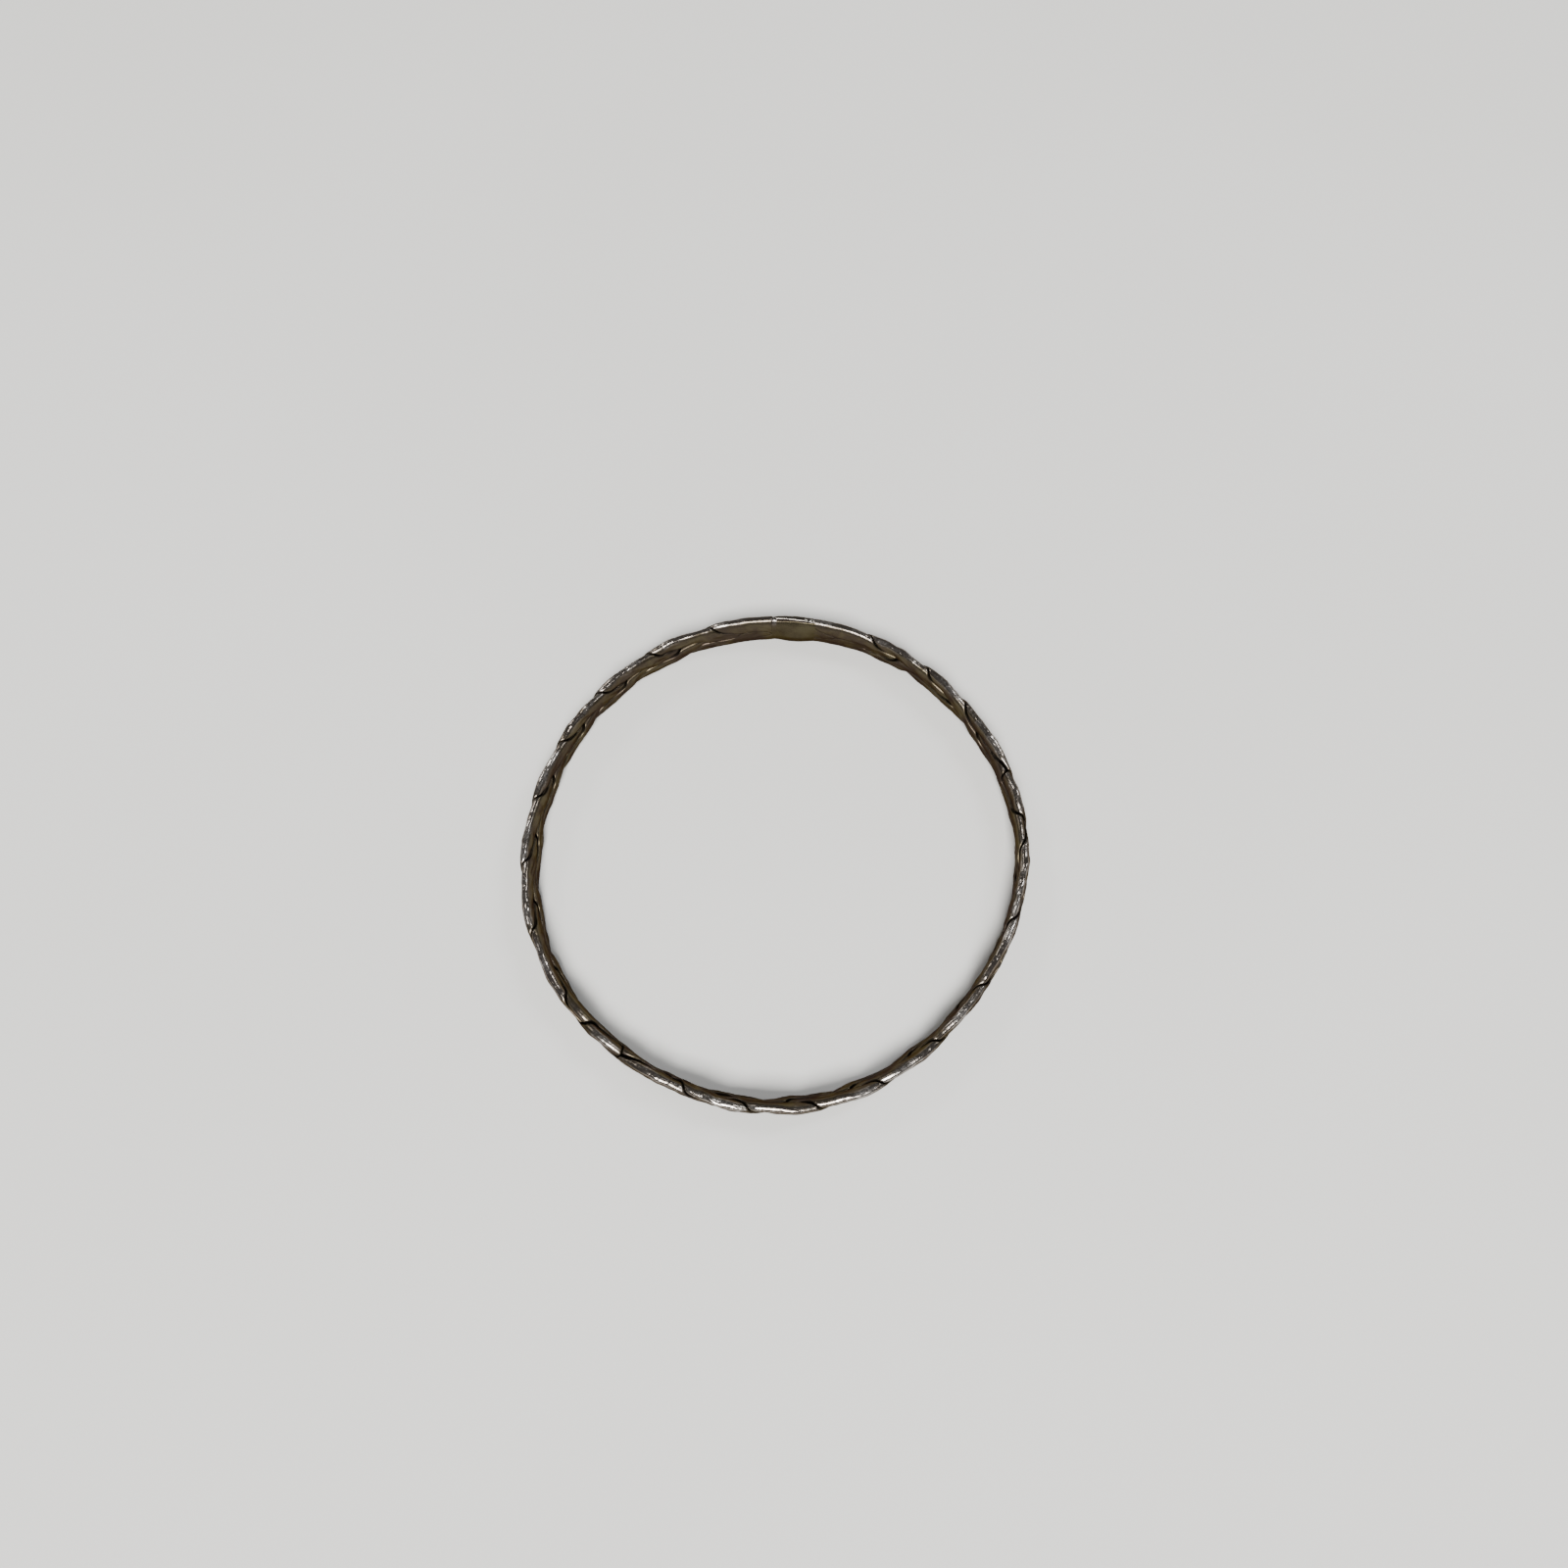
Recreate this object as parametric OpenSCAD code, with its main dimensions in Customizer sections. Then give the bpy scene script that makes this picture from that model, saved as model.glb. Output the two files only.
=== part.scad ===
// Braided wire bangle: three wires plaited flat, pressed and bent into a closed ring.
// The ring lies flat. +Z is the ring's axis and the origin is its centre on the surface.
// Angles run anticlockwise from +X as seen from above, and the closing joint is near +Y.

/* [Ring] */
// Inside diameter, the size that slips over the hand
wrist_d = 65; // [55:0.5:75]
// Thickness of the pressed band, measured towards the ring's centre
band_t = 1.8; // [1.4:0.1:2.6]
// Width of the pressed band, measured along the ring's axis
band_w = 5.2; // [4.4:0.1:6.4]
// Heights of the 2, 3, 4 and 5 lobes by which the ring is out of round
lobe_h = [0.34, 0.10, 0.17, 0.13]; // [0:0.01:0.4]
// Direction of one crest of each of those lobes
lobe_dir = [54, 12, 8, -8]; // [-180:1:180]

/* [Twist of the band] */
// Mean lean of the band's top towards the ring's centre
lean_mean = -4.7; // [-6:0.1:6]
// Extra lean that comes 1, 2, 3 and 4 times in a turn
lean_h = [5.1, 3.5, 3.1, 3.3]; // [0:0.1:6]
// Direction where each of those leans is largest
lean_dir = [40, 9, -11, -31]; // [-180:1:180]

/* [Plait] */
// Degrees round the ring that one wire takes to come back to the same edge
lay = 48; // [36:1:60]
// Phase of the first wire at the +X direction
lay_start = 327; // [0:1:360]
// Phase drift that comes 1, 2, 3 and 4 times in a turn, from plaiting by hand
drift_h = [12.7, 9.0, 7.6, 0]; // [0:0.1:15]
// Direction where each of those drifts is largest
drift_dir = [-64, -36, -49, 0]; // [-180:1:180]
// Middles of the two stretches where the plait rolled over before it was pressed
roll_at = [23, 238.5]; // [0:0.5:360]
// How far the plait rolled over there
roll_h = [125, 125]; // [0:5:130]
// Half length of each rolled stretch, in degrees round the ring
roll_arc = [13.5, 12.5]; // [10:0.5:18]
// Share of the roll by which the plaiting lags there
roll_lag = 0.3; // [0:0.05:0.5]
// How far past the middle of each rolled stretch the plaiting misses a crossing, in degrees
miss_after = 14; // [12:0.5:16]
// Length over which it misses the crossing, in degrees
miss_arc = 2; // [1.5:0.5:4]
// How far a wire's centre swings along the ring's axis, as a share of the half width
swing_w = 0.63; // [0.5:0.01:0.68]
// How far a wire's centre swings in and out, as a share of the half thickness
swing_t = 0.46; // [0.36:0.02:0.5]
// Share of a wire's swing that still shows as a bump on the pressed outline
pillow = 0.34; // [0:0.01:0.36]
// Roundness of a pressed wire: 2 is soft, 8 has sharp corners
roundness = 3.5; // [3.5:0.5:8]
// Extra squareness beside the joint, where solder has filled the grooves
fill = 8; // [0:1:9]
// Length of the filled grooves on each side of the joint, in degrees
fill_arc = 12; // [6:1:14]
// Clearance left between neighbouring wires
wire_gap = 0.02; // [0.01:0.01:0.06]

/* [Closing joint] */
// Direction of the start of the solid joint
joint_from = 80.5; // [78:0.5:82]
// Direction of the end of the solid joint
joint_to = 90.9; // [89.9:0.5:93.9]
// Length of the solder seam at the start of the joint, in degrees round the ring
seam_a_arc = 1.1; // [0.6:0.1:1.6]
// Length of the solder seam at the end of the joint, in degrees round the ring
seam_b_arc = 0.9; // [0.6:0.1:1.2]
// Thickness of the inner plate's ends
plate_t = 0.55; // [0.4:0.05:0.7]
// How far the inner plate's middle stands into the ring
plate_bulge = 0.35; // [0:0.05:0.6]
// Half width of the inner plate along the ring's axis
plate_half_w = 2.2; // [1.6:0.1:2.3]

/* [Fineness] */
// Degrees between two sections of a wire
station_step = 1.5; // [1.5:0.5:4]
// Points round a wire's section
section_points = 14; // [10:2:20]

/* [Hidden] */
$fn = 48;
half_t = band_t / 2;
half_w = band_w / 2;
mid_r = wrist_d / 2 + half_t;
lift = 0.02;
mid_z = half_w + lift;
wires = 3;
wire_step = 360 / wires;
end_gap = 0.04;
plait_from = joint_to + end_gap;
plait_to = joint_from - end_gap + 360;
stations = ceil((plait_to - plait_from) / station_step);

// Half sizes of the pressed oval before the wires' bumps are added to it.
oval_t = half_t * (1 - pillow * swing_t);
oval_w = half_w * (1 - pillow * swing_w);

// The solid joint has a squarer section than the plait, filed flat where it rests.
block_power = 3;
block_half_w = half_w + 0.1;
block_points = 12;
slit = 0.04;
block_back = half_t - plate_t - slit;
block_from = joint_from + seam_a_arc;
block_to = joint_to - seam_b_arc;
joint_mid = (block_from + block_to) / 2;
plate_from = joint_from + end_gap;
plate_to = block_to - end_gap;
plate_points = 8;
plate_rows = 12;
plate_edge = 0.08;

silver = "#b9b4ab";
filed_silver = "#a39d90";
solder = "#cfccc4";

// Sum of four cosine waves, the first with the given number of crests in a turn.
function waves(h, dir, first, t) =
    h[0] * cos(first * (t - dir[0]))
    + h[1] * cos((first + 1) * (t - dir[1]))
    + h[2] * cos((first + 2) * (t - dir[2]))
    + h[3] * cos((first + 3) * (t - dir[3]));

function ring_r(t) = mid_r + waves(lobe_h, lobe_dir, 2, t);
function lean(t) = lean_mean + waves(lean_h, lean_dir, 1, t);

// Shortest way round from one direction to another, for directions from 0 to two turns.
function turned(t, at) = (t - at + 180) % 360 - 180;

// One rolled stretch: nearly flat along the middle and steep at both ends.
function rolled(i, t) = roll_h[i] * exp(-0.5 * pow(abs(turned(t, roll_at[i])) / roll_arc[i], 4));
function roll(t) = rolled(0, t) + rolled(1, t);

// Direction counted on from the plait's start, and a smooth step from 0 to 1 at such a direction.
function along_plait(at) = at < plait_from ? at + 360 : at;
function step_at(t, at) = 1 / (1 + exp((at - t) / miss_arc));

// Share of the crossings missed so far, one at the end of each rolled stretch.
function missed(t) =
    step_at(t, along_plait(roll_at[0]) + miss_after) + step_at(t, along_plait(roll_at[1]) + miss_after);

function phase(t) =
    lay_start + 360 * t / lay + waves(drift_h, drift_dir, 1, t) - roll_lag * roll(t)
    - wire_step * missed(t);

// A point of the band's own section, s = [outwards, upwards], placed at direction t.
function placed(t, s) =
    let (
        r = ring_r(t) + s.x * cos(lean(t)) - s.y * sin(lean(t)),
        z = mid_z + s.x * sin(lean(t)) + s.y * cos(lean(t))
    )
    [r * cos(t), r * sin(t), z];

// Centre of wire k in the band's section: a figure of eight, in at the back and out at the front,
// turned by the roll and then pressed flat.
function wire_centre(k, t) =
    let (
        p = phase(t) + k * wire_step,
        x = -swing_t * sin(2 * p),
        y = swing_w * sin(p),
        w = roll(t)
    )
    [half_t * (x * cos(w) - y * sin(w)), half_w * (x * sin(w) + y * cos(w))];

// Distance from c to the band's oval outline in direction u; the oval follows the wire a little.
function to_outline(c, u) =
    let (
        q = c * (1 - pillow),
        a = pow(u.x / oval_t, 2) + pow(u.y / oval_w, 2),
        b = q.x * u.x / pow(oval_t, 2) + q.y * u.y / pow(oval_w, 2),
        d = pow(q.x / oval_t, 2) + pow(q.y / oval_w, 2) - 1
    )
    (sqrt(b * b - a * d) - b) / a;

// How strongly the middle plane between c and another wire's centre bounds direction u.
function pressed_by(c, other, u) =
    let (
        d = other - c,
        far = norm(d)
    )
    max(0, u * d / far) / (far / 2 - wire_gap);

// 1 where the plait meets the joint, falling to 0 over the filled grooves.
function filled(t) = max(0, 1 - (t - plait_from) / fill_arc, 1 - (plait_to - t) / fill_arc);

// A wire's section point: bounded by the outline and both neighbours, with rounded corners.
function wire_point(k, t, turn) =
    let (
        u = [cos(turn), sin(turn)],
        c = wire_centre(k, t),
        power = roundness + fill * filled(t),
        outline = 1 / to_outline(c, u),
        next = pressed_by(c, wire_centre(k + 1, t), u),
        last = pressed_by(c, wire_centre(k + 2, t), u),
        sum = pow(outline, power) + pow(next, power) + pow(last, power)
    )
    c + u * pow(sum, -1 / power);

// A closed skin over rows of points, row after row round the ring.
module skin(rows) {
    n = len(rows[0]);
    last = len(rows) - 1;
    sides = [
        for (i = [0 : last - 1], j = [0 : n - 1], half = [0, 1])
            let (
                a = i * n + j,
                b = i * n + (j + 1) % n
            )
            half == 0 ? [a, b, b + n] : [a, b + n, a + n]
    ];
    first_cap = [for (j = [n - 1 : -1 : 0]) j];
    last_cap = [for (j = [0 : n - 1]) last * n + j];
    polyhedron(points = [for (row = rows) each row], faces = concat(sides, [first_cap, last_cap]));
}

// One plaited wire, from one side of the joint round to the other.
module wire(k) {
    turn_step = 360 / section_points;
    color(silver)
        skin([
            for (i = [0 : stations])
                let (t = plait_from + (plait_to - plait_from) * i / stations)
                [for (j = [0 : section_points - 1]) placed(t, wire_point(k, t, j * turn_step))]
        ]);
}

module wire_1() {
    wire(0);
}

module wire_2() {
    wire(1);
}

module wire_3() {
    wire(2);
}

// Section outline of the solid joint from its flat foot over the top to its straight back.
function block_curve(q) =
    let (
        c = cos(q),
        s = sin(q)
    )
    [
        half_t * sign(c) * pow(abs(c), 2 / block_power),
        mid_z + block_half_w * sign(s) * pow(abs(s), 2 / block_power)
    ];

foot_turn = -asin(pow(mid_z / block_half_w, block_power / 2));
back_turn = 180 - acos(pow(block_back / half_t, block_power / 2));

// The arc's centre is moved off the ring's centre so that the joint follows the ring's slope.
joint_slope = (ring_r(joint_mid + 1) - ring_r(joint_mid - 1)) * 90 / PI;
joint_centre = [-joint_slope * sin(joint_mid), joint_slope * cos(joint_mid)];
joint_skew = atan(joint_slope / ring_r(joint_mid));

// A stretch of the joint between two directions: the full section, or one with a straight back.
module joint_arc(from, to, full) {
    last_turn = full ? 180 - foot_turn : back_turn;
    back_foot = full ? [] : [[-block_back, 0]];
    curve = [
        for (i = [0 : block_points])
            block_curve(foot_turn + (last_turn - foot_turn) * i / block_points)
    ];
    translate([joint_centre.x, joint_centre.y, 0])
        rotate([0, 0, from - joint_skew])
            rotate_extrude(angle = to - from)
                translate([ring_r(joint_mid), 0])
                    polygon(concat(curve, back_foot));
}

// The solid, filed piece that closes the ring, with the flat foot that it rests on.
module joint_block() {
    color(filed_silver)
        joint_arc(block_from, block_to, false);
}

// Pale solder between the wire ends and the start of the joint, in front of the plate.
module solder_seam_a() {
    color(solder)
        joint_arc(joint_from, block_from, false);
}

// Pale solder through the whole band, between the end of the joint and the wires' first ends.
module solder_seam_b() {
    color(solder)
        joint_arc(block_to, joint_to, true);
}

// A point of the plate's section at direction t; depth counts from the plate's back into the ring.
function plate_point(t, z, depth) =
    let (
        round_centre = ring_r(joint_mid) - block_back - slit - depth,
        turn = t - joint_skew
    )
    [
        joint_centre.x + round_centre * cos(turn),
        joint_centre.y + round_centre * sin(turn),
        mid_z + z
    ];

// Thickness of the plate: a bulge along its length, thinning towards its long edges.
function plate_depth(t, z) =
    let (
        along = sin(180 * (t - plate_from) / (plate_to - plate_from)),
        crown = 1 - pow(abs(z) / plate_half_w, 4)
    )
    plate_edge + (plate_t - slit - plate_edge + plate_bulge * along) * crown;

// The smooth plate soldered along the joint's straight back.
module inner_plate() {
    heights = [for (j = [0 : plate_points]) plate_half_w - 2 * plate_half_w * j / plate_points];
    color(filed_silver)
        skin([
            for (i = [0 : plate_rows])
                let (t = plate_from + (plate_to - plate_from) * i / plate_rows)
                concat(
                    [plate_point(t, -plate_half_w, 0), plate_point(t, plate_half_w, 0)],
                    [for (z = heights) plate_point(t, z, plate_depth(t, z))]
                )
        ]);
}

wire_1();
wire_2();
wire_3();
joint_block();
inner_plate();
solder_seam_a();
solder_seam_b();
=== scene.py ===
"""Plaited silver wire bangle: three pressed wires, the filed joint that closes them, the joint's
inner plate and its two solder seams.

Shapes are worked out in millimetres in the ring's own terms and then scaled to metres:
t is the direction round the ring in degrees, anticlockwise from +X; "out" is the distance outwards
from the band's middle line; "up" is the distance above the band's mid height.
"""
import math

import bpy
import numpy as np
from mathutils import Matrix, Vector


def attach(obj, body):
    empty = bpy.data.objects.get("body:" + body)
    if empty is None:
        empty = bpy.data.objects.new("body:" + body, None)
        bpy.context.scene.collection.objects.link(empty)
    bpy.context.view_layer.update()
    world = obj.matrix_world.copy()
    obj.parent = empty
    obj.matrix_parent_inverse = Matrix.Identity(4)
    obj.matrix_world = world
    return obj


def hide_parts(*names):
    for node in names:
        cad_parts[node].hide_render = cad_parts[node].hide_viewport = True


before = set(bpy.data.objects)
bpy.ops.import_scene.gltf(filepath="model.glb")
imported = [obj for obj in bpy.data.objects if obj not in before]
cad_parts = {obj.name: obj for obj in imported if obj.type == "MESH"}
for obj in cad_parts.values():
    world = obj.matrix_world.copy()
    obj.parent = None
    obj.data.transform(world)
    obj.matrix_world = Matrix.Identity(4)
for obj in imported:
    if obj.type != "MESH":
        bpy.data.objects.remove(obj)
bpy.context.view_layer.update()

MM = 0.001

# Ring and pressed band, in millimetres and degrees.
WRIST_D = 65.0
BAND_T = 1.8
BAND_W = 5.2
HALF_T = BAND_T / 2
HALF_W = BAND_W / 2
MID_Z = HALF_W + 0.02
SQUARENESS = 2.6
LOBE_HEIGHTS, LOBE_DIRECTIONS = (0.34, 0.10, 0.17, 0.13), (54, 12, 8, -8)
LEAN_MEAN, LEAN_HEIGHTS, LEAN_DIRECTIONS = -4.7, (5.1, 3.5, 3.1, 3.3), (40, 9, -11, -31)

# Plait: the lay, its slow drifts, and the two stretches that rolled over, each given by its
# direction, the angle rolled and how far it spreads round the ring, all in degrees.
LAY = 48.0
LAY_START = 327.0
DRIFT_HEIGHTS, DRIFT_DIRECTIONS = (12.7, 9.0, 7.6, 0.0), (-64, -36, -49, 0)
ROLLS = ((23.0, 125.0, 13.5), (238.5, 125.0, 12.5))
ROLL_LAG = 0.3
MISS_AFTER, MISS_ARC = 14.0, 2.0
WIRE_APART = 120.0
SWING_W, SWING_T = 0.63, 0.46

# Pressed section of a wire: how much the outline follows it, how rounded its corners are, and the
# arc beside the joint where solder fills the grooves and squares the sections.
PILLOW = 0.42
ROUNDNESS = 3.8
WIRE_GAP = 0.02
FILL_ARC, FILL_SLOPE = 15.0, 2.5
FILLED_ROUNDNESS, FILLED_LAP = 30.0, 0.06

# Hammering, ripples and knocks on the wires: depths and lengths in millimetres.
HAMMER_DEPTH, HAMMER_LENGTHS, HAMMER_SEED = 0.060, (2.6, 6.5), 11
RIPPLE_DEPTH, RIPPLE_LENGTHS, RIPPLE_SEED = 0.010, (0.6, 1.6), 31
WIRE_WAVES = 12
KNOCK_DEPTH, KNOCKS, KNOCK_SEED = 0.06, 150, 51
KNOCKED_LENGTH = 205.0
KNOCK_SIZES, KNOCK_LEVELS = (0.18, 0.7), (0.3, 1.0)
KNOCK_STRETCH, KNOCK_TURN = 1.8, 60.0

# Wear on the outer face: its most, from 0 to 1, and how far from mid height it ends.
SIDE_WEAR, SIDE_EDGE = 0.6, 1.9

# Closing joint: directions round the ring in degrees, and the plane of the block's back.
JOINT_FROM, JOINT_TO = 80.5, 90.9
BLOCK_FROM, BLOCK_TO = 81.6, 90.0
PLATE_FROM, PLATE_TO = 80.1, 89.9
WIRE_END_GAP, SEAM_LAP = 0.05, 0.15
BLOCK_BACK, PLATE_BACK = -0.31, -0.36
BEYOND = 9.0

# Marks on the joint, in millimetres; places and lengths round the ring are in degrees.
BLOCK_BELLY, PLATE_BULGE = 0.10, 0.38
SLIT_WIDTH = 0.20
GOUGE_AT, GOUGE_SLANT, GOUGE_ARC, GOUGE_WIDTH, GOUGE_DEPTH = 82.5, 0.9, 0.26, 0.20, 0.14
END_DROP, END_DROP_ARC = 0.12, 0.35
# The lip glint is a painted highlight: pale colour along the block's lip, where the lamp's
# highlight falls.
LIP_BACK, LIP_WIDTH, LIP_GLINT = 0.12, 0.10, 0.45
PLATE_DROP, PATCH_DROP, SEAM_DROP = 0.03, 0.03, 0.16

# Fineness of the finished surfaces: rows along a piece and points round its section.
WIRE_ROWS, WIRE_POINTS = 1390, 64
JOINT_ROWS, SEAM_ROWS, JOINT_POINTS = 110, 40, 128


# Shapes ------------------------------------------------------------------------------------------

def cos_d(angle):
    """Cosine of an angle in degrees."""
    return np.cos(np.radians(angle))


def sin_d(angle):
    """Sine of an angle in degrees."""
    return np.sin(np.radians(angle))


def unit(value):
    """Values kept from 0 to 1, for masks and ramps."""
    return np.clip(value, 0, 1)


def bell(x):
    """Bell curve exp(-x^2): 1 at 0, and close to 0 beyond 2."""
    return np.exp(-(x**2))


def waves(heights, directions, first, t):
    """Sum of four cosine waves round the ring, the first with the given number of crests."""
    return sum(
        h * cos_d((first + i) * (t - d)) for i, (h, d) in enumerate(zip(heights, directions))
    )


def ring_radius(t):
    """Radius of the band's middle line: a circle with 2, 3, 4 and 5 low lobes."""
    return WRIST_D / 2 + HALF_T + waves(LOBE_HEIGHTS, LOBE_DIRECTIONS, 2, t)


def length_along(t):
    """Length along the band's middle line, taken as the angle times the local radius."""
    return np.radians(t) * ring_radius(t)


def lean(t):
    """Lean of the band's top towards the ring's centre, in degrees."""
    return LEAN_MEAN + waves(LEAN_HEIGHTS, LEAN_DIRECTIONS, 1, t)


def roll(t):
    """How far the plait rolled over before it was pressed, in degrees: a flat-topped bump,
    height x exp(-(distance / spread)^4 / 2), at each rolled stretch."""
    total = 0.0
    for at, height, spread in ROLLS:
        away = np.abs((t - at + 180.0) % 360.0 - 180.0)
        total = total + height * np.exp(-0.5 * (away / spread) ** 4)
    return total


def missed(t):
    """Crossings missed so far, counted from the joint: after each rolled stretch a smooth step,
    1 / (1 + exp(-distance / arc))."""
    total = 0.0
    for at, _, _ in ROLLS:
        step = at + MISS_AFTER + (360.0 if at < JOINT_TO else 0.0)
        total = total + 1 / (1 + np.exp((step - t) / MISS_ARC))
    return total


def phase(t):
    """Plaiting phase: one turn each lay, with slow drifts, lagging where the plait rolled over."""
    drift = waves(DRIFT_HEIGHTS, DRIFT_DIRECTIONS, 1, t)
    return LAY_START + 360.0 * t / LAY + drift - ROLL_LAG * roll(t) - WIRE_APART * missed(t)


def placed(t, out, up):
    """Points of the band's section put in the ring, in metres: turned by the lean, then by t, and
    kept at the floor or above it, so that the ring stands on small flats."""
    a = lean(t)
    r = ring_radius(t) + out * cos_d(a) - up * sin_d(a)
    z = np.maximum(MID_Z + out * sin_d(a) + up * cos_d(a), 0)
    return np.stack(np.broadcast_arrays(r * cos_d(t), r * sin_d(t), z), axis=-1) * MM


def wire_centre(k, t):
    """Centre of wire k in the section: a figure of eight, in at the back and out at the front,
    turned by the roll and then pressed to the band's thickness and width."""
    p = phase(t) + WIRE_APART * k
    x, y, w = -SWING_T * sin_d(2 * p), SWING_W * sin_d(p), roll(t)
    return HALF_T * (x * cos_d(w) - y * sin_d(w)), HALF_W * (x * sin_d(w) + y * cos_d(w))


def outline_bound(qx, qy, ux, uy, half_x, half_y):
    """1 / reach, the reach being how many times the step (ux, uy) takes the point (qx, qy) to the
    pressed outline |x / half_x|^n + |y / half_y|^n = 1. The reach is found by halving an interval,
    whose far end is beyond any step taken here."""
    near, far = 0.0, 9.0
    for _ in range(32):
        reach = (near + far) / 2
        level = np.abs((qx + ux * reach) / half_x) ** SQUARENESS
        level = level + np.abs((qy + uy * reach) / half_y) ** SQUARENESS
        near, far = np.where(level < 1, reach, near), np.where(level < 1, far, reach)
    return 1 / reach


def unevenness(seed, along, around, lengths, count):
    """Sum of cosine waves of random lengths and directions, over the root of their number:
    cos(2 pi along / length + whole turns x around + start)."""
    rng = np.random.default_rng(seed)
    total = np.zeros(np.broadcast(along, around).shape)
    for _ in range(count):
        length = rng.uniform(*lengths)
        turns = int(rng.integers(-3, 4))
        start = rng.uniform(0.0, 2 * math.pi)
        total += np.cos(2 * math.pi * along / length + turns * np.radians(around) + start)
    return total / math.sqrt(count)


def dents(seed, along, around, count, length):
    """Shallow knocks, 0 outside and up to 1 inside: the deepest of many bell-shaped pits with
    random places, sizes and depths."""
    rng = np.random.default_rng(seed)
    at, turn = rng.uniform(0, length, count), rng.uniform(0, 360, count)
    size, depth = rng.uniform(*KNOCK_SIZES, count), rng.uniform(*KNOCK_LEVELS, count)
    deepest = np.zeros(np.broadcast(along, around).shape)
    for a, u, s, d in zip(at, turn, size, depth):
        sideways = ((around - u + 180.0) % 360.0 - 180.0) / KNOCK_TURN
        pit = bell((along - a) / (KNOCK_STRETCH * s)) * bell(sideways / s)
        deepest = np.maximum(deepest, d * pit)
    return deepest


def side_wear(out, up):
    """Wear on the band's outer face: the square of the way out, fading out near both edges."""
    return SIDE_WEAR * unit(out / HALF_T) ** 2 * unit(SIDE_EDGE - np.abs(up))


def top_wear(up):
    """Wear on the band's top: the cube of the height."""
    return unit(up / HALF_W) ** 3


def wire_skin(k, t, turn, filled):
    """Distance from wire k's centre to its smooth skin in the direction turn, and how much that
    skin lies against a neighbour, from 0 to 1. The distance is (sum of bound^n)^(-1/n), the bounds
    being the pressed outline and the middle planes to both neighbours. The outline is drawn in a
    little towards the wire. Where solder fills the grooves n grows, the outline is the band's own
    and the wires lap over the middle planes."""
    ux, uy = cos_d(turn), sin_d(turn)
    cx, cy = wire_centre(k, t)
    pillow = PILLOW * (1 - filled)
    qx, qy = cx * (1 - pillow), cy * (1 - pillow)
    half_t, half_w = HALF_T * (1 - pillow * SWING_T), HALF_W * (1 - pillow * SWING_W)
    power = ROUNDNESS + FILLED_ROUNDNESS * filled
    total, nearest = outline_bound(qx, qy, ux, uy, half_t, half_w) ** power, 0.0
    for other in (k + 1, k + 2):
        ox, oy = wire_centre(other, t)
        far = np.hypot(ox - cx, oy - cy)
        towards = np.maximum(0, (ux * (ox - cx) + uy * (oy - cy)) / far)
        bound = towards / (far / 2 - WIRE_GAP * (1 - filled) + FILLED_LAP * filled)
        total, nearest = total + bound**power, np.maximum(nearest, bound)
    reach = total ** (-1 / power)
    return reach, unit(nearest * reach)


def pressed_wire(k):
    """One plaited wire, from the joint's end once round to its start: the smooth skin, made uneven
    by hammering waves, ripples and knocks, which leave the grooves alone and halve beside the
    joint. The mask groove is 1 against a neighbour and fades where solder fills the inner grooves.
    The mask rubbed is 1 on worn tops, fades down the inner wall, and is 0 in the grooves."""
    t = np.linspace(JOINT_TO + WIRE_END_GAP, JOINT_FROM + 360 - WIRE_END_GAP, WIRE_ROWS)[:, None]
    turn = np.linspace(0, 360, WIRE_POINTS, endpoint=False)[None, :]
    to_joint = np.minimum(t - JOINT_TO, JOINT_FROM + 360 - t)
    filled = unit(FILL_SLOPE * (1 - to_joint / FILL_ARC))
    reach, groove = wire_skin(k, t, turn, filled)
    along = length_along(t)
    hammered = unevenness(HAMMER_SEED + k, along, turn, HAMMER_LENGTHS, WIRE_WAVES)
    rippled = unevenness(RIPPLE_SEED + k, along, turn, RIPPLE_LENGTHS, WIRE_WAVES)
    knocked = dents(KNOCK_SEED + k, along, turn, KNOCKS, KNOCKED_LENGTH)
    free = unit((1 - groove) * 4) * (1 - 0.5 * filled)
    worked = HAMMER_DEPTH * hammered + RIPPLE_DEPTH * rippled - KNOCK_DEPTH * knocked
    reach = reach + free * worked
    cx, cy = wire_centre(k, t)
    out, up = cx + cos_d(turn) * reach, cy + sin_d(turn) * reach
    crest = top_wear(up) * unit(1.5 * out / HALF_T + 1.4) * (1 - 0.3 * filled)
    bare = unit((0.97 - groove) * 3) * (1 - 0.5 * knocked)
    masks = {
        "groove": groove * (1 - 0.8 * filled * (out < 0.3)),
        "rubbed": np.maximum(crest, side_wear(out, up)) * bare,
    }
    return placed(t, out, up), masks, along + 0 * turn


def outline_slice(q, inner, outer, power=16):
    """Point at parameter q, in degrees, of a slice of the band's outline between an inner and an
    outer plane. From the slice's middle its skin lies at (outline bound^n + plane bound^n)^(-1/n),
    which rounds the corners; a plane beyond the outline leaves that side whole."""
    low, high = np.maximum(inner, -HALF_T), np.minimum(outer, HALF_T)
    middle, half = (low + high) / 2, (high - low) / 2
    ux, uy = half * cos_d(q), HALF_W * sin_d(q) + 0 * half
    outline = outline_bound(middle, 0.0, ux, uy, HALF_T, HALF_W)
    plane = np.maximum(ux / (outer - middle), -ux / (middle - inner))
    reach = (outline**power + plane**power) ** (-1 / power)
    return middle + ux * reach, uy * reach


def joint_grid(t_from, t_to, rows):
    """Grid of a joint piece: the directions round the ring, closer together near both ends, each
    one's share of the way, and the parameter round the section."""
    share = (1 - np.cos(np.linspace(0, math.pi, rows))) / 2
    q = np.linspace(0, 360, JOINT_POINTS, endpoint=False)[None, :]
    return (t_from + (t_to - t_from) * share)[:, None], share[:, None], q


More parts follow.
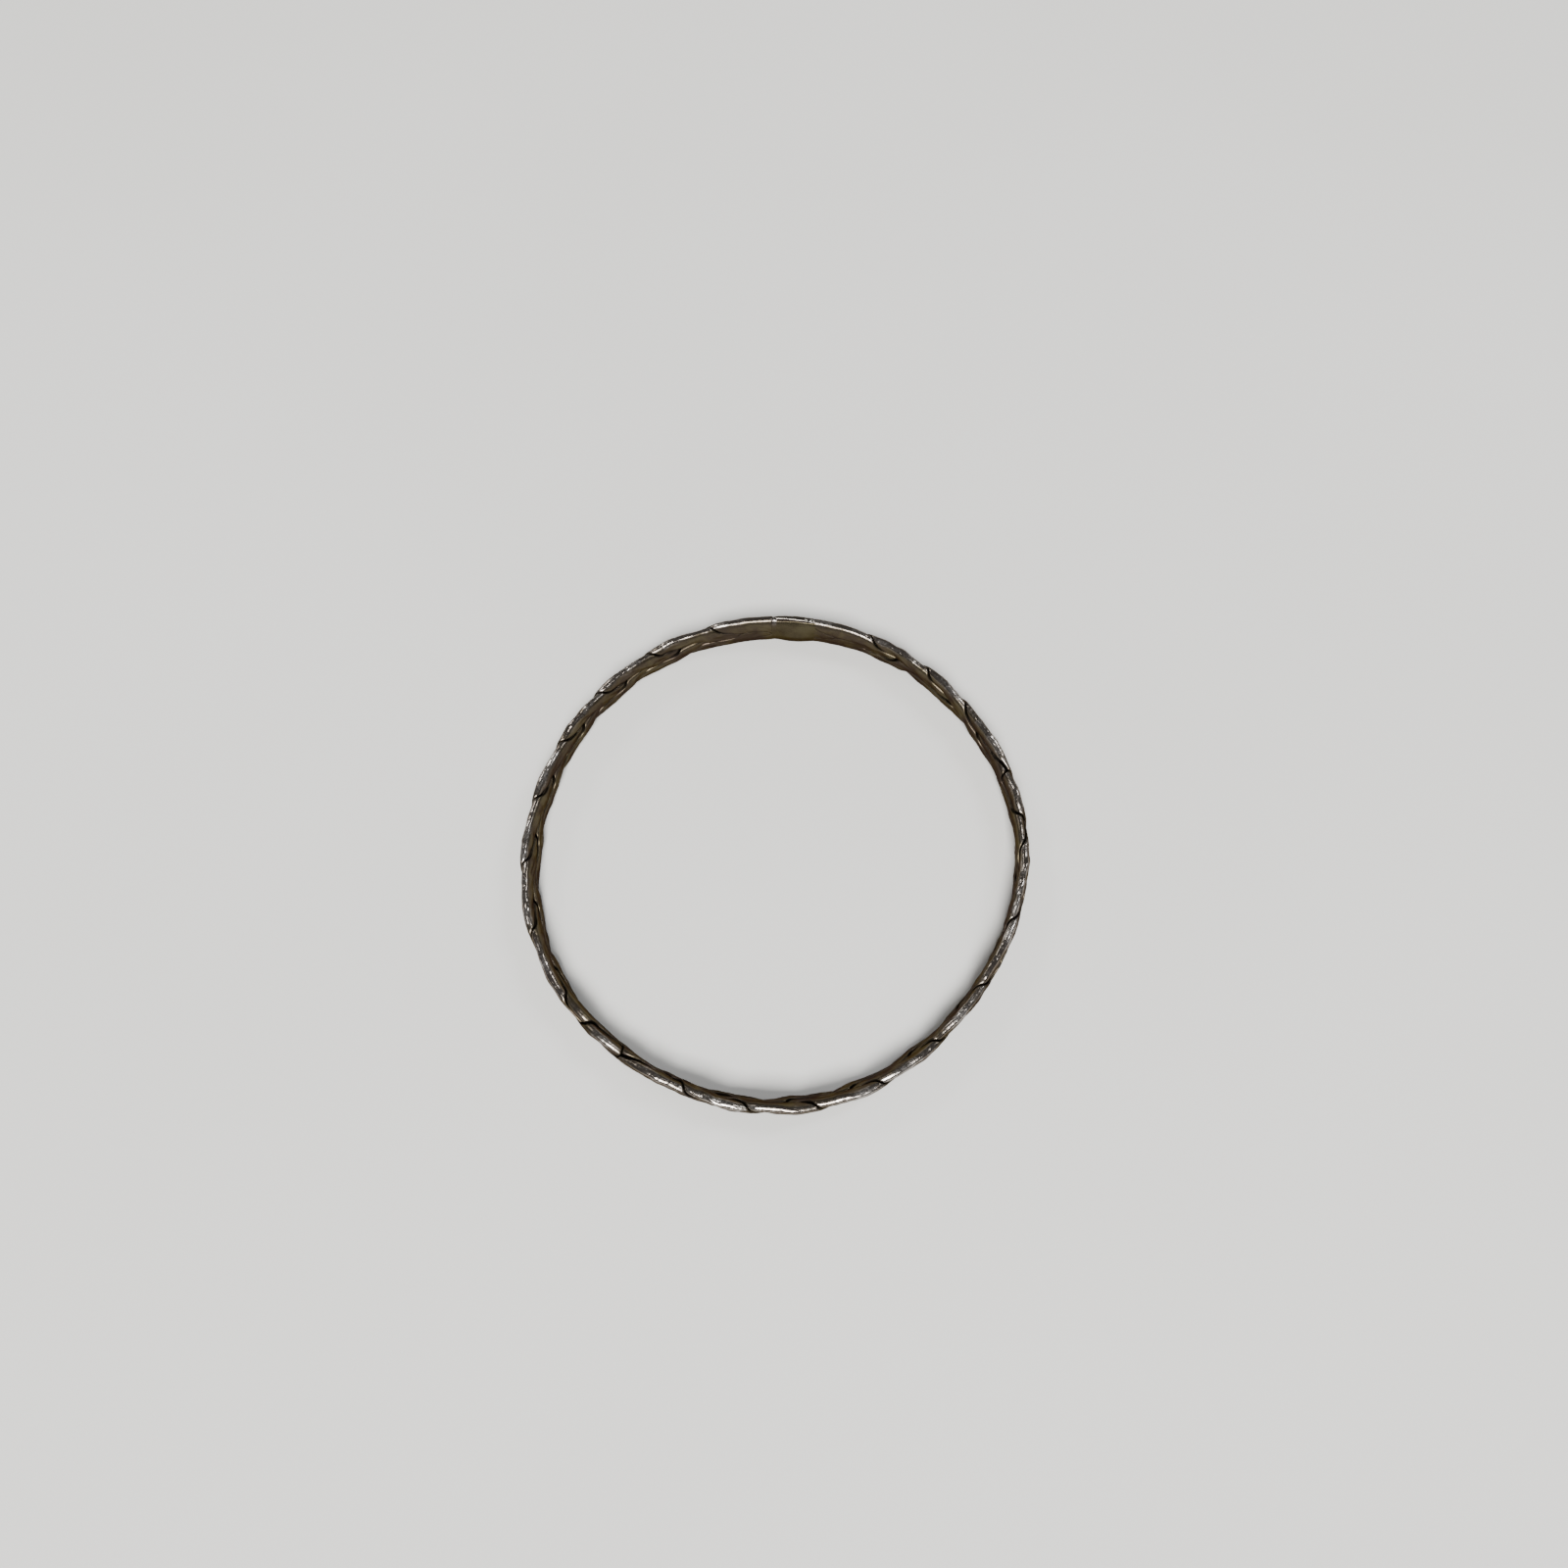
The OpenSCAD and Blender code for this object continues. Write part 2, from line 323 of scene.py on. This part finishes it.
def filed_block():
    """The joint's solid piece: the outer slice of the outline, swelling outwards halfway along.
    A slit beside the inner plate widens towards the second seam, with a highlight painted in pale
    colour along its lip. A slanting gouge lies on the top near the first seam, and the top drops a
    little at the second."""
    t, share, q = joint_grid(BLOCK_FROM, BLOCK_TO, JOINT_ROWS)
    back = BLOCK_BACK + SLIT_WIDTH * unit((share - 0.15) * 1.6)
    x, y = outline_slice(q, back, BEYOND)
    top = y > 0
    along, halfway = length_along(t), np.sin(math.pi * share)
    uneven = 0.022 * unevenness(71, along, q, (1.2, 5.0), 10) * halfway**0.5
    out = x + (BLOCK_BELLY * halfway**1.5 + uneven) * unit(x / HALF_T)
    gouge = bell((t - GOUGE_AT - GOUGE_SLANT * x) / GOUGE_ARC)
    gouge = gouge * bell((x + 0.05) / GOUGE_WIDTH) * top
    end = bell((t - BLOCK_TO) / END_DROP_ARC) * unit(x) * top
    up = y - GOUGE_DEPTH * gouge - END_DROP * end + uneven * top
    # Painted highlight along the slit's lip, given to the mask bright.
    lip_highlight = bell((x - back - LIP_BACK) / LIP_WIDTH) * (y > 2) * unit((share - 0.2) * 4)
    masks = {
        "groove": unit((back + 0.05 - x) * 30),
        "rubbed": np.maximum(top_wear(y) * unit(0.85 - x), side_wear(x, y)),
        "bright": unit(gouge + LIP_GLINT * lip_highlight),
    }
    return placed(t, out, up), masks, along + 0 * q


def plate_slab():
    """The smooth inner plate: the inner slice of the outline, its lower part bulging into the ring
    halfway along, with a slightly worn edge near its back."""
    t, share, q = joint_grid(PLATE_FROM, PLATE_TO, JOINT_ROWS)
    x, y = outline_slice(q, -BEYOND, PLATE_BACK)
    top = y > 0
    along, halfway = length_along(t), np.sin(math.pi * share)
    uneven = 0.02 * unevenness(91, along, q, (1.6, 6.0), 10) * halfway
    deep = (PLATE_BACK - x) / (HALF_T + PLATE_BACK)
    lower = unit((2.0 - y) / 2.6)
    out = x - (PLATE_BULGE * halfway**1.3 * lower + uneven) * unit(deep * 8)
    worn_edge = bell((deep - 0.10) / 0.09) * top
    masks = {"groove": (deep < 0.01) * top, "rubbed": 0.05 + 0.3 * worn_edge}
    return placed(t, out, y - PLATE_DROP * top), masks, along + 0 * q


def seam(t_from, t_to, inner, pinch, seed):
    """Solder between the block and the wire ends: a slice of the outline, drawn in by the pinch
    halfway along, and slightly uneven."""
    t, share, q = joint_grid(t_from, t_to, SEAM_ROWS)
    x, y = outline_slice(q, inner, BEYOND)
    along = length_along(t)
    uneven = 0.012 * unevenness(seed, along, q, (0.5, 1.5), 8)
    waist = 1 - pinch * np.sin(math.pi * share) + uneven
    return t, share, x, y, waist, along + 0 * q


def first_seam():
    """The seam at the start of the joint, with a pale patch on the middle of its top."""
    t, share, x, y, waist, along = seam(
        JOINT_FROM - SEAM_LAP, BLOCK_FROM + SEAM_LAP, inner=-0.40, pinch=0.01, seed=80)
    patch = unit(4 - 14 * np.abs(x - 0.02)) * unit(3 - 7.5 * np.abs(share - 0.5)) * (y > 0)
    masks = {"groove": 0 * waist, "rubbed": top_wear(y), "bright": 0.7 * patch}
    return placed(t, x * waist, y * waist - PATCH_DROP * patch), masks, along


def second_seam():
    """The seam at the end of the joint, through the whole band, with a thin pale bead across."""
    t, share, x, y, waist, along = seam(
        BLOCK_TO - SEAM_LAP, JOINT_TO + SEAM_LAP, inner=-BEYOND, pinch=0.02, seed=89)
    top = y > 0
    bead = bell((share - 0.55 - 0.30 * x) / 0.10) * unit((y - 2.2) * 6)
    drop = SEAM_DROP * np.sin(math.pi * share) * unit(x / HALF_T + 0.2) * top
    masks = {"groove": 0.6 * unit((x - 0.25) * 3) * top, "rubbed": top_wear(y), "bright": bead}
    return placed(t, x * waist, y * waist - drop), masks, along


def closed_bar(name, points, masks, along):
    """Mesh of a bar given by rows of points, each row a closed loop, with a fan on each end.
    The UV map holds the length along the bar and the way round its section, in millimetres."""
    rows, cols = points.shape[:2]
    i, j = np.meshgrid(np.arange(rows - 1), np.arange(cols), indexing="ij")
    a, b = i * cols + j, i * cols + (j + 1) % cols
    quads = np.stack([a, a + cols, b + cols, b], axis=-1).reshape(-1, 4)
    loop = np.arange(cols)
    onward, last_row = (loop + 1) % cols, (rows - 1) * cols
    first_middle, last_middle = rows * cols, rows * cols + 1
    fans = np.concatenate([
        np.stack([np.full(cols, first_middle), loop, onward], axis=-1),
        np.stack([np.full(cols, last_middle), onward + last_row, loop + last_row], axis=-1),
    ])
    middles = np.stack([points[0].mean(axis=0), points[-1].mean(axis=0)])
    verts = np.concatenate([points.reshape(-1, 3), middles])
    mesh = bpy.data.meshes.new(name)
    mesh.from_pydata(verts.tolist(), [], quads.tolist() + fans.tolist())
    sides = np.linalg.norm(np.roll(points, -1, axis=1) - points, axis=-1)
    girth = sides.sum(axis=1).mean() / MM
    u = np.stack([along[:-1], along[1:], along[1:], along[:-1]], axis=-1)
    v = np.stack([j, j, j + 1, j + 1], axis=-1) * girth / cols
    quad_uv = np.stack([u.reshape(-1), v.reshape(-1)], axis=-1)
    fan_uv = np.zeros((len(fans) * 3, 2))
    layer = mesh.uv_layers.new(name="Along")
    layer.data.foreach_set("uv", np.concatenate([quad_uv, fan_uv]).astype(np.float32).ravel())
    for key in ("groove", "rubbed", "bright"):
        values = np.broadcast_to(masks.get(key, 0.0), (rows, cols)).reshape(-1)
        ends = np.array([values[:cols].mean(), values[-cols:].mean()])
        attribute = mesh.attributes.new(key, "FLOAT", "POINT")
        attribute.data.foreach_set("value", np.concatenate([values, ends]).astype(np.float32))
    mesh.polygons.foreach_set("use_smooth", np.ones(len(mesh.polygons), dtype=bool))
    mesh.update()
    piece = bpy.data.objects.new(name, mesh)
    bpy.context.scene.collection.objects.link(piece)
    return piece


# Materials ---------------------------------------------------------------------------------------

# Colours of old silver, from linear red, green and blue. The olive and brown tones of sheltered
# metal are tarnish, darkened and tinted to also paint in a dim olive-brown reflection of the
# surroundings on the inner wall.
OLIVE_TARNISH_AND_REFLECTION, BROWN_TARNISH_AND_REFLECTION = (0.078, 0.065, 0.041, 1), (0.054, 0.042, 0.033, 1)
DULL_CREST, BRIGHT_CREST = (0.170, 0.146, 0.126, 1), (0.49, 0.46, 0.43, 1)
FILED_OLIVE, FILED_BROWN = (0.072, 0.061, 0.037, 1), (0.055, 0.045, 0.029, 1)
FILED_DULL, FILED_BRIGHT = (0.12, 0.104, 0.092, 1), (0.20, 0.182, 0.168, 1)
SOLDER_OLIVE, SOLDER_BROWN = (0.076, 0.064, 0.040, 1), (0.056, 0.045, 0.031, 1)
SOLDER_DULL, SOLDER_BRIGHT = (0.12, 0.105, 0.10, 1), (0.18, 0.16, 0.15, 1)
# Pale solder and bare metal. Through the mask bright it also paints the highlight along the
# block's lip.
PALE_SOLDER_AND_GLINT = (0.50, 0.47, 0.41, 1)
OXIDE_BLACK = (0.030, 0.021, 0.017, 1)
GRAZING_TINT = (0.33, 0.315, 0.31, 1)

# Noise scales, in cycles per metre.
WIDE_PATCHES, CLOUDY_PATCHES, FINE_PATCHES = 210.0, 780.0, 3600.0
RAGGED_EDGE, PITS, GRAIN = 2600.0, 2400.0, 9000.0

# Scratches on the UV map: stretch along and across, turn in radians, cycles per millimetre before
# the stretch, and thinness. Two kinds run along the piece and one runs across it.
SCRATCH_KINDS = (
    ((0.35, 9.0, 1.0), 0.0, 1.0, 0.035),
    ((0.9, 14.0, 1.0), 0.5, 1.3, 0.02),
    ((5.0, 1.2, 1.0), 0.2, 1.0, 0.02),
)
SCRATCH_RELIEF, RELIEF_STRENGTH = 0.000005, 0.6
GRAIN_HEIGHT, LINE_DEPTH, PIT_DEPTH = 0.35, 0.45, 0.6

# Where each mask begins and ends on its noise or wear, how much the clouds shift the wear, how
# ragged the oxide's edge is, how much metal it hides, and what each effect adds to the roughness.
PATCH_RANGE, WORN_RANGE = (0.40, 0.60), (0.20, 0.95)
SHINE_RANGE, PIT_RANGE = (0.46, 0.62), (0.62, 0.72)
CLOUD_SHIFT = 0.9
RAGGEDNESS, OXIDE_SOFTNESS, OXIDE_COVER = 0.16, 0.12, 0.85
LINE_ROUGH, PATCH_ROUGH, OXIDE_ROUGH = 0.08, 0.06, 0.4


def add(tree, kind, **values):
    """Adds a node; keywords set its properties, or its inputs where the key names a socket."""
    node = tree.nodes.new(kind)
    for key, value in values.items():
        if hasattr(node, key):
            setattr(node, key, value)
        else:
            node.inputs[key].default_value = value
    return node


def new_group(name, inputs, outputs):
    """An empty shader node group with its named sockets, and its input and output nodes."""
    tree = bpy.data.node_groups.new(name, "ShaderNodeTree")
    for label, kind in inputs.items():
        tree.interface.new_socket(label, in_out="INPUT", socket_type="NodeSocket" + kind)
    for label, kind in outputs.items():
        tree.interface.new_socket(label, in_out="OUTPUT", socket_type="NodeSocket" + kind)
    return tree, tree.nodes.new("NodeGroupInput").outputs, tree.nodes.new("NodeGroupOutput").inputs


def join(tree, value, slot):
    """Links a socket to an input, or sets the input to a number or colour."""
    if isinstance(value, bpy.types.NodeSocket):
        tree.links.new(value, slot)
    else:
        slot.default_value = value


def use_group(tree, group, **links):
    """Places a node group and joins its inputs: a socket is linked, anything else is its value."""
    node = tree.nodes.new("ShaderNodeGroup")
    node.node_tree = group
    for key, value in links.items():
        join(tree, value, node.inputs[key.replace("_", " ")])
    return node.outputs


def noise(tree, vector, scale, detail=4.0, roughness=0.55):
    """Fractal noise on a vector; returns its value socket, from 0 to 1."""
    node = add(tree, "ShaderNodeTexNoise", Scale=scale, Detail=detail, Roughness=roughness)
    tree.links.new(vector, node.inputs["Vector"])
    return node.outputs["Fac"]


def remap(tree, value, low, high, to_low=0.0, to_high=1.0):
    """A value from low to high stretched smoothly onto to_low to to_high, and clamped."""
    node = add(tree, "ShaderNodeMapRange", interpolation_type="SMOOTHSTEP")
    ends = {"From Min": low, "From Max": high, "To Min": to_low, "To Max": to_high}
    for key, number in ends.items():
        node.inputs[key].default_value = number
    tree.links.new(value, node.inputs["Value"])
    return node.outputs["Result"]


def maths(tree, operation, first, second=0.0, clamp=False):
    """A Math node on two sockets or numbers."""
    node = add(tree, "ShaderNodeMath", operation=operation, use_clamp=clamp)
    join(tree, first, node.inputs[0])
    join(tree, second, node.inputs[1])
    return node.outputs["Value"]


def mixture(tree, *parts):
    """Weighted sum of sockets, given as pairs of a socket and its weight."""
    total = None
    for value, weight in parts:
        weighted = maths(tree, "MULTIPLY", value, weight)
        total = weighted if total is None else maths(tree, "ADD", total, weighted)
    return total


def blend_colour(tree, share, first, second):
    """First colour where share is 0, second where it is 1; each is a socket or a colour."""
    node = add(tree, "ShaderNodeMix", data_type="RGBA")
    tree.links.new(share, node.inputs["Factor"])
    join(tree, first, node.inputs[6])
    join(tree, second, node.inputs[7])
    return node.outputs[2]


def tarnish_and_reflection_group():
    """Tarnish in cloudy patches: a sheltered tone, which also carries a painted dim olive-brown
    reflection on the inner wall, and a rubbed tone, each mixed from two colours, and then mixed
    with each other by how rubbed the surface is."""
    tree, given, result = new_group(
        "Patchy tarnish and reflection",
        {"Vector": "Vector", "Rubbed": "Float", "Sheltered A": "Color", "Sheltered B": "Color",
         "Rubbed A": "Color", "Rubbed B": "Color"},
        {"Color": "Color", "Patches": "Float", "Worn": "Float"},
    )
    wide = noise(tree, given["Vector"], WIDE_PATCHES, 3.0)
    cloudy = noise(tree, given["Vector"], CLOUDY_PATCHES, 5.0, 0.62)
    fine = noise(tree, given["Vector"], FINE_PATCHES, 4.0, 0.6)
    patches = remap(tree, mixture(tree, (wide, 0.6), (cloudy, 0.4)), *PATCH_RANGE)
    cloudiness = maths(tree, "MULTIPLY", maths(tree, "SUBTRACT", cloudy, 0.5), CLOUD_SHIFT)
    worn = remap(tree, maths(tree, "ADD", given["Rubbed"], cloudiness), *WORN_RANGE)
    shine = remap(tree, mixture(tree, (fine, 0.45), (wide, 0.55)), *SHINE_RANGE)
    sheltered = blend_colour(tree, patches, given["Sheltered A"], given["Sheltered B"])
    rubbed = blend_colour(tree, shine, given["Rubbed A"], given["Rubbed B"])
    tree.links.new(blend_colour(tree, worn, sheltered, rubbed), result["Color"])
    tree.links.new(patches, result["Patches"])
    tree.links.new(worn, result["Worn"])
    return tree


def oxide_group():
    """Black oxide left in the grooves: strongest against a neighbour, with a ragged edge."""
    tree, given, result = new_group(
        "Groove oxide",
        {"Color": "Color", "Vector": "Vector", "Groove": "Float", "Start": "Float"},
        {"Color": "Color", "Amount": "Float"},
    )
    edge = maths(tree, "SUBTRACT", noise(tree, given["Vector"], RAGGED_EDGE, 3.0), 0.5)
    ragged = maths(tree, "ADD", given["Groove"], maths(tree, "MULTIPLY", edge, RAGGEDNESS))
    amount = remap(tree, maths(tree, "SUBTRACT", ragged, given["Start"]), 0.0, OXIDE_SOFTNESS)
    tree.links.new(blend_colour(tree, amount, given["Color"], OXIDE_BLACK), result["Color"])
    tree.links.new(amount, result["Amount"])
    return tree


def scratch_group():
    """Fine scratches: long drawn lines along the piece and a few short ones across it, given as a
    height together with grain and small pits, and as lines."""
    tree, given, result = new_group(
        "Fine scratches",
        {"Along": "Vector", "Vector": "Vector"},
        {"Height": "Float", "Lines": "Float"},
    )
    lines = None
    for stretch, turn, scale, thin in SCRATCH_KINDS:
        mapping = add(tree, "ShaderNodeMapping", Scale=stretch, Rotation=(0, 0, turn))
        tree.links.new(given["Along"], mapping.inputs["Vector"])
        value = noise(tree, mapping.outputs["Vector"], scale, 3.0, 0.6)
        off = maths(tree, "ABSOLUTE", maths(tree, "SUBTRACT", value, 0.5))
        line = remap(tree, off, 0.0, thin, 1.0, 0.0)
        lines = line if lines is None else maths(tree, "MAXIMUM", lines, line)
    grain = noise(tree, given["Vector"], GRAIN, 4.0, 0.7)
    pits = remap(tree, noise(tree, given["Vector"], PITS, 2.0), *PIT_RANGE)
    sunk = mixture(tree, (lines, LINE_DEPTH), (pits, PIT_DEPTH))
    height = maths(tree, "SUBTRACT", maths(tree, "MULTIPLY", grain, GRAIN_HEIGHT), sunk)
    tree.links.new(height, result["Height"])
    tree.links.new(lines, result["Lines"])
    return tree


TARNISH_AND_REFLECTION = tarnish_and_reflection_group()
OXIDE = oxide_group()
SCRATCHES = scratch_group()


def aged_silver(name, sheltered, rubbed, polish, oxide_start):
    """Old silver: patchy tarnish, whose sheltered tone also paints in a dim olive-brown
    reflection, worn crests, black oxide in the grooves, pale colour where the mask bright says so,
    and fine scratches. The pale colour covers solder, bare metal in the gouge and a painted
    highlight along the block's lip. sheltered and rubbed are pairs of colours, polish is the
    lowest and highest roughness, and oxide_start is the groove mask's value where the oxide
    begins."""
    material = bpy.data.materials.new(name)
    material.use_nodes = True
    tree = material.node_tree
    shader = tree.nodes["Principled BSDF"].inputs
    shader["Specular Tint"].default_value = GRAZING_TINT
    place = add(tree, "ShaderNodeTexCoord").outputs["Object"]
    along = add(tree, "ShaderNodeUVMap", uv_map="Along").outputs["UV"]
    groove, worn_most, bright = (
        add(tree, "ShaderNodeAttribute", attribute_name=key).outputs["Fac"]
        for key in ("groove", "rubbed", "bright")
    )
    # tarnish carries the tarnish and wear colours, and the sheltered tones add a painted dim
    # reflection.
    tarnish = use_group(tree, TARNISH_AND_REFLECTION, Vector=place, Rubbed=worn_most,
                        Sheltered_A=sheltered[0], Sheltered_B=sheltered[1],
                        Rubbed_A=rubbed[0], Rubbed_B=rubbed[1])
    # The mask bright brings in pale solder, bare metal in the gouge and the painted highlight on
    # the block's lip.
    metal_colour = blend_colour(tree, bright, tarnish["Color"], PALE_SOLDER_AND_GLINT)
    oxide = use_group(tree, OXIDE, Vector=place, Color=metal_colour,
                      Groove=groove, Start=oxide_start)
    scratches = use_group(tree, SCRATCHES, Along=along, Vector=place)
    tree.links.new(oxide["Color"], shader["Base Color"])
    hidden = maths(tree, "MULTIPLY", oxide["Amount"], OXIDE_COVER)
    tree.links.new(maths(tree, "SUBTRACT", 1.0, hidden), shader["Metallic"])
    smooth = remap(tree, tarnish["Worn"], 0.0, 1.0, polish[1], polish[0])
    dulled = mixture(tree, (scratches["Lines"], LINE_ROUGH), (tarnish["Patches"], PATCH_ROUGH),
                     (oxide["Amount"], OXIDE_ROUGH))
    tree.links.new(maths(tree, "ADD", smooth, dulled, clamp=True), shader["Roughness"])
    relief = add(tree, "ShaderNodeBump", Distance=SCRATCH_RELIEF, Strength=RELIEF_STRENGTH)
    tree.links.new(scratches["Height"], relief.inputs["Height"])
    tree.links.new(relief.outputs["Normal"], shader["Normal"])
    return material


plaited_silver = aged_silver(
    "Aged plaited silver", (OLIVE_TARNISH_AND_REFLECTION, BROWN_TARNISH_AND_REFLECTION), (DULL_CREST, BRIGHT_CREST),
    polish=(0.10, 0.30), oxide_start=0.92)
filed_silver = aged_silver(
    "Filed joint silver", (FILED_OLIVE, FILED_BROWN), (FILED_DULL, FILED_BRIGHT),
    polish=(0.14, 0.28), oxide_start=0.5)
silver_solder = aged_silver(
    "Silver solder", (SOLDER_OLIVE, SOLDER_BROWN), (SOLDER_DULL, SOLDER_BRIGHT),
    polish=(0.16, 0.28), oxide_start=0.4)


# Pieces ------------------------------------------------------------------------------------------

PIECES = (
    ("wire_1", pressed_wire(0), plaited_silver, "plaited_wire"),
    ("wire_2", pressed_wire(1), plaited_silver, "plaited_wire"),
    ("wire_3", pressed_wire(2), plaited_silver, "plaited_wire"),
    ("joint_block", filed_block(), filed_silver, "filed_joint"),
    ("inner_plate", plate_slab(), filed_silver, "filed_joint"),
    ("solder_seam_a", first_seam(), silver_solder, "solder"),
    ("solder_seam_b", second_seam(), silver_solder, "solder"),
)

for node, shape, material, slot in PIECES:
    piece = closed_bar(node + "_finished", *shape)
    cad_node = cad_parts[node]
    cad_node.data.materials.clear()
    for part in (piece, cad_node):
        part.data.materials.append(material)
    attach(piece, "root")
    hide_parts(node)


# Stage -------------------------------------------------------------------------------------------

FLOOR_HALF = 3.0
PAPER_TONES = (0.60, 0.598, 0.58, 1), (0.62, 0.618, 0.602, 1)
ROOM_COLOUR, ROOM_STRENGTH = (0.97, 0.98, 1.0, 1), 0.25
CAMERA_LENS, SENSOR_WIDTH, NEAR_CLIP = 26.55, 36.0, 0.01
CAMERA_PLACE, CAMERA_TILT = (0.00118, -0.04213, 0.15499), 18.7


def paper_material():
    """Plain pale paper, barely mottled."""
    material = bpy.data.materials.new("Pale paper")
    material.use_nodes = True
    tree = material.node_tree
    shader = tree.nodes["Principled BSDF"].inputs
    place = add(tree, "ShaderNodeTexCoord").outputs["Object"]
    mottle = remap(tree, noise(tree, place, 9.0, 2.0), 0.3, 0.7)
    tree.links.new(blend_colour(tree, mottle, *PAPER_TONES), shader["Base Color"])
    shader["Roughness"].default_value = 0.9
    shader["Specular IOR Level"].default_value = 0.15
    return material


def paper_floor():
    """The floor: one square of paper at the height the ring rests on."""
    h = FLOOR_HALF
    mesh = bpy.data.meshes.new("floor")
    mesh.from_pydata([(-h, -h, 0), (h, -h, 0), (h, h, 0), (-h, h, 0)], [], [(0, 1, 2, 3)])
    mesh.materials.append(paper_material())
    floor = bpy.data.objects.new("floor", mesh)
    bpy.context.scene.collection.objects.link(floor)


def soft_light(name, place, size, power, colour):
    """A rectangular area light at place, in metres, turned towards the ring's middle."""
    data = bpy.data.lights.new(name, "AREA")
    data.shape = "RECTANGLE"
    data.size, data.size_y = size
    data.energy = power
    data.color = colour
    lamp = bpy.data.objects.new(name, data)
    lamp.location = place
    lamp.rotation_euler = (-Vector(place)).to_track_quat("-Z", "Y").to_euler()
    bpy.context.scene.collection.objects.link(lamp)


def dim_room():
    """An even, dim and slightly cool surrounding light."""
    world = bpy.data.worlds.new("Dim room")
    world.use_nodes = True
    background = world.node_tree.nodes["Background"].inputs
    background["Color"].default_value = ROOM_COLOUR
    background["Strength"].default_value = ROOM_STRENGTH
    bpy.context.scene.world = world


paper_floor()
soft_light("ceiling_panel", (-0.05, -0.82, 1.27), (0.62, 0.62), 55.0, (1.0, 0.985, 0.96))
soft_light("side_panel", (0.95, 0.55, 1.2), (0.3, 0.5), 9.0, (0.95, 0.97, 1.0))
soft_light("low_fill", (-0.9, 0.8, 1.0), (0.4, 0.3), 5.0, (1.0, 0.97, 0.93))
dim_room()

# The camera stands above the ring's front and looks down, 18.7 degrees from straight down.
camera_data = bpy.data.cameras.new("camera")
camera_data.lens = CAMERA_LENS
camera_data.sensor_width = SENSOR_WIDTH
camera_data.clip_start = NEAR_CLIP
camera = bpy.data.objects.new("camera", camera_data)
camera.location = CAMERA_PLACE
camera.rotation_euler = (math.radians(CAMERA_TILT), 0, 0)
bpy.context.scene.collection.objects.link(camera)
bpy.context.scene.camera = camera
